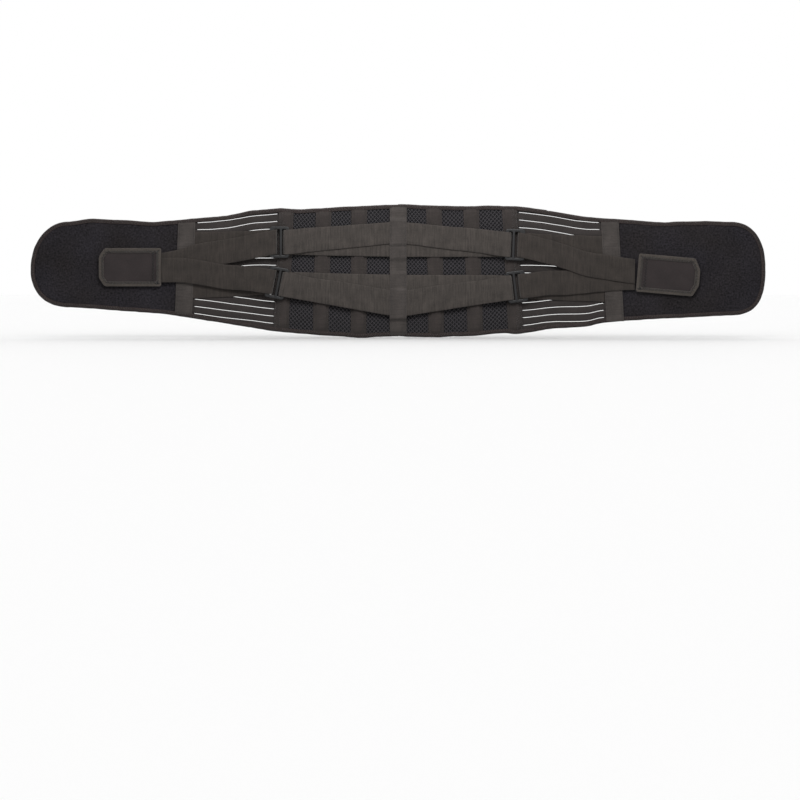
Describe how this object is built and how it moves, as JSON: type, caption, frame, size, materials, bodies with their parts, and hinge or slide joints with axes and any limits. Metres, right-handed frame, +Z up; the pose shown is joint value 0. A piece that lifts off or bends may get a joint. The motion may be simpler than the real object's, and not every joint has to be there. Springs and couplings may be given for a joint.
{
  "type": "lumbar support belt",
  "caption": "Wide elasticated back belt with stays, slotted elastic sides, ring-and-strap side tighteners, hook-and-loop flaps and a removable lumbar pad, opened out flat.",
  "frame": {"origin": "middle of the back panel's inner face, where the belt lies on the wearer's spine, with the belt opened out flat in the XZ plane", "axes": "+X along the belt, +Y from the belt towards the wearer, +Z up the wearer's back; the outer face with the straps looks along -Y"},
  "size_m": [1.131, 0.0285, 0.2056],
  "materials": {
    "liner": "smooth knitted lining, dark grey",
    "spacer_mesh": "open diamond spacer mesh, charcoal",
    "binding": "folded edge tape with zigzag stitching",
    "webbing": "ribbed woven tape, warm dark grey",
    "spring_steel": "flat spring steel",
    "elastic": "ribbed elastic with open slots",
    "loop_fabric": "brushed loop pile, charcoal",
    "hook_tape": "moulded hooks, black",
    "ring_plastic": "moulded black, satin gloss",
    "pad_cover": "short velour over foam, brown grey",
    "label": "woven label, blank, off-white"
  },
  "bodies": {
    "back_panel": {"back_liner": "liner", "back_spacer_mesh": "spacer_mesh", "back_top_binding": "binding", "back_bottom_binding": "binding", "outer_left_stay_pocket": "webbing", "outer_left_stay": "spring_steel", "left_stay_pocket": "webbing", "left_stay": "spring_steel", "centre_stay_pocket": "webbing", "centre_stay": "spring_steel", "right_stay_pocket": "webbing", "right_stay": "spring_steel", "outer_right_stay_pocket": "webbing", "outer_right_stay": "spring_steel", "left_upper_inner_strap": "webbing", "left_lower_inner_strap": "webbing", "right_upper_inner_strap": "webbing", "right_lower_inner_strap": "webbing"},
    "left_side_panel": {"left_edge_liner": "liner", "left_edge_spacer_mesh": "spacer_mesh", "left_edge_stay_pocket": "webbing", "left_edge_stay": "spring_steel", "left_elastic_panel": "elastic", "left_side_top_binding": "binding", "left_side_bottom_binding": "binding", "left_upper_pull_strap": "webbing", "left_lower_pull_strap": "webbing"},
    "left_flap": {"left_flap_loop_panel": "loop_fabric", "left_flap_liner": "liner", "left_flap_binding": "binding", "left_outer_seam_strip": "webbing", "left_inner_seam_strip": "webbing"},
    "left_tab": {"left_pull_tab": "webbing", "left_pull_tab_hook": "hook_tape"},
    "right_side_panel": {"right_edge_liner": "liner", "right_edge_spacer_mesh": "spacer_mesh", "right_edge_stay_pocket": "webbing", "right_edge_stay": "spring_steel", "right_elastic_panel": "elastic", "right_side_top_binding": "binding", "right_side_bottom_binding": "binding", "right_upper_pull_strap": "webbing", "right_lower_pull_strap": "webbing"},
    "right_flap": {"right_flap_loop_panel": "loop_fabric", "right_flap_liner": "liner", "right_flap_binding": "binding", "right_outer_seam_strip": "webbing", "right_inner_seam_strip": "webbing", "hook_panel": "hook_tape", "size_label": "label"},
    "right_tab": {"right_pull_tab": "webbing", "right_pull_tab_hook": "hook_tape"},
    "left_upper_ring": {"left_upper_ring": "ring_plastic"},
    "left_lower_ring": {"left_lower_ring": "ring_plastic"},
    "right_upper_ring": {"right_upper_ring": "ring_plastic"},
    "right_lower_ring": {"right_lower_ring": "ring_plastic"},
    "lumbar_pad": {"lumbar_pad_cushion": "pad_cover", "lumbar_pad_binding": "binding", "lumbar_pad_hook": "hook_tape"}
  },
  "joints": [
    {"name": "left_side_fold", "type": "hinge", "parent": "back_panel", "child": "left_side_panel", "pos_m": [-0.147, 0.0014, 0], "axis": [0, 0, -1], "range_deg": [0, 65], "deforming": ["left_upper_inner_strap", "left_lower_inner_strap", "left_upper_pull_strap", "left_lower_pull_strap"]},
    {"name": "left_flap_fold", "type": "hinge", "parent": "left_side_panel", "child": "left_flap", "pos_m": [-0.311, 0.0016, 0], "axis": [0, 0, -1], "range_deg": [0, 65], "deforming": ["left_upper_pull_strap", "left_lower_pull_strap"]},
    {"name": "left_tab_pull", "type": "slide", "parent": "left_flap", "child": "left_tab", "axis": [-1, 0, 0], "range_m": [0, 0.06], "deforming": ["left_upper_pull_strap", "left_lower_pull_strap"]},
    {"name": "left_upper_ring_slide", "type": "slide", "parent": "left_side_panel", "child": "left_upper_ring", "axis": [-1, 0, 0], "range_m": [0, 0.03], "deforming": ["left_upper_inner_strap", "left_upper_pull_strap"]},
    {"name": "left_lower_ring_slide", "type": "slide", "parent": "left_side_panel", "child": "left_lower_ring", "axis": [-1, 0, 0], "range_m": [0, 0.03], "deforming": ["left_lower_inner_strap", "left_lower_pull_strap"]},
    {"name": "right_side_fold", "type": "hinge", "parent": "back_panel", "child": "right_side_panel", "pos_m": [0.147, 0.0014, 0], "axis": [0, 0, 1], "range_deg": [0, 65], "deforming": ["right_upper_inner_strap", "right_lower_inner_strap", "right_upper_pull_strap", "right_lower_pull_strap"]},
    {"name": "right_flap_fold", "type": "hinge", "parent": "right_side_panel", "child": "right_flap", "pos_m": [0.311, 0.0016, 0], "axis": [0, 0, 1], "range_deg": [0, 65], "deforming": ["right_upper_pull_strap", "right_lower_pull_strap"]},
    {"name": "right_tab_pull", "type": "slide", "parent": "right_flap", "child": "right_tab", "axis": [1, 0, 0], "range_m": [0, 0.06], "deforming": ["right_upper_pull_strap", "right_lower_pull_strap"]},
    {"name": "right_upper_ring_slide", "type": "slide", "parent": "right_side_panel", "child": "right_upper_ring", "axis": [1, 0, 0], "range_m": [0, 0.03], "deforming": ["right_upper_inner_strap", "right_upper_pull_strap"]},
    {"name": "right_lower_ring_slide", "type": "slide", "parent": "right_side_panel", "child": "right_lower_ring", "axis": [1, 0, 0], "range_m": [0, 0.03], "deforming": ["right_lower_inner_strap", "right_lower_pull_strap"]},
    {"name": "lumbar_pad_lift", "type": "slide", "parent": "back_panel", "child": "lumbar_pad", "axis": [0, 1, 0], "range_m": [0, 0.06]}
  ],
  "couplings": [
    {"joint": "left_upper_ring_slide", "follows": "left_tab_pull", "ratio": 0.5},
    {"joint": "left_lower_ring_slide", "follows": "left_tab_pull", "ratio": 0.5},
    {"joint": "right_upper_ring_slide", "follows": "right_tab_pull", "ratio": 0.5},
    {"joint": "right_lower_ring_slide", "follows": "right_tab_pull", "ratio": 0.5}
  ]
}
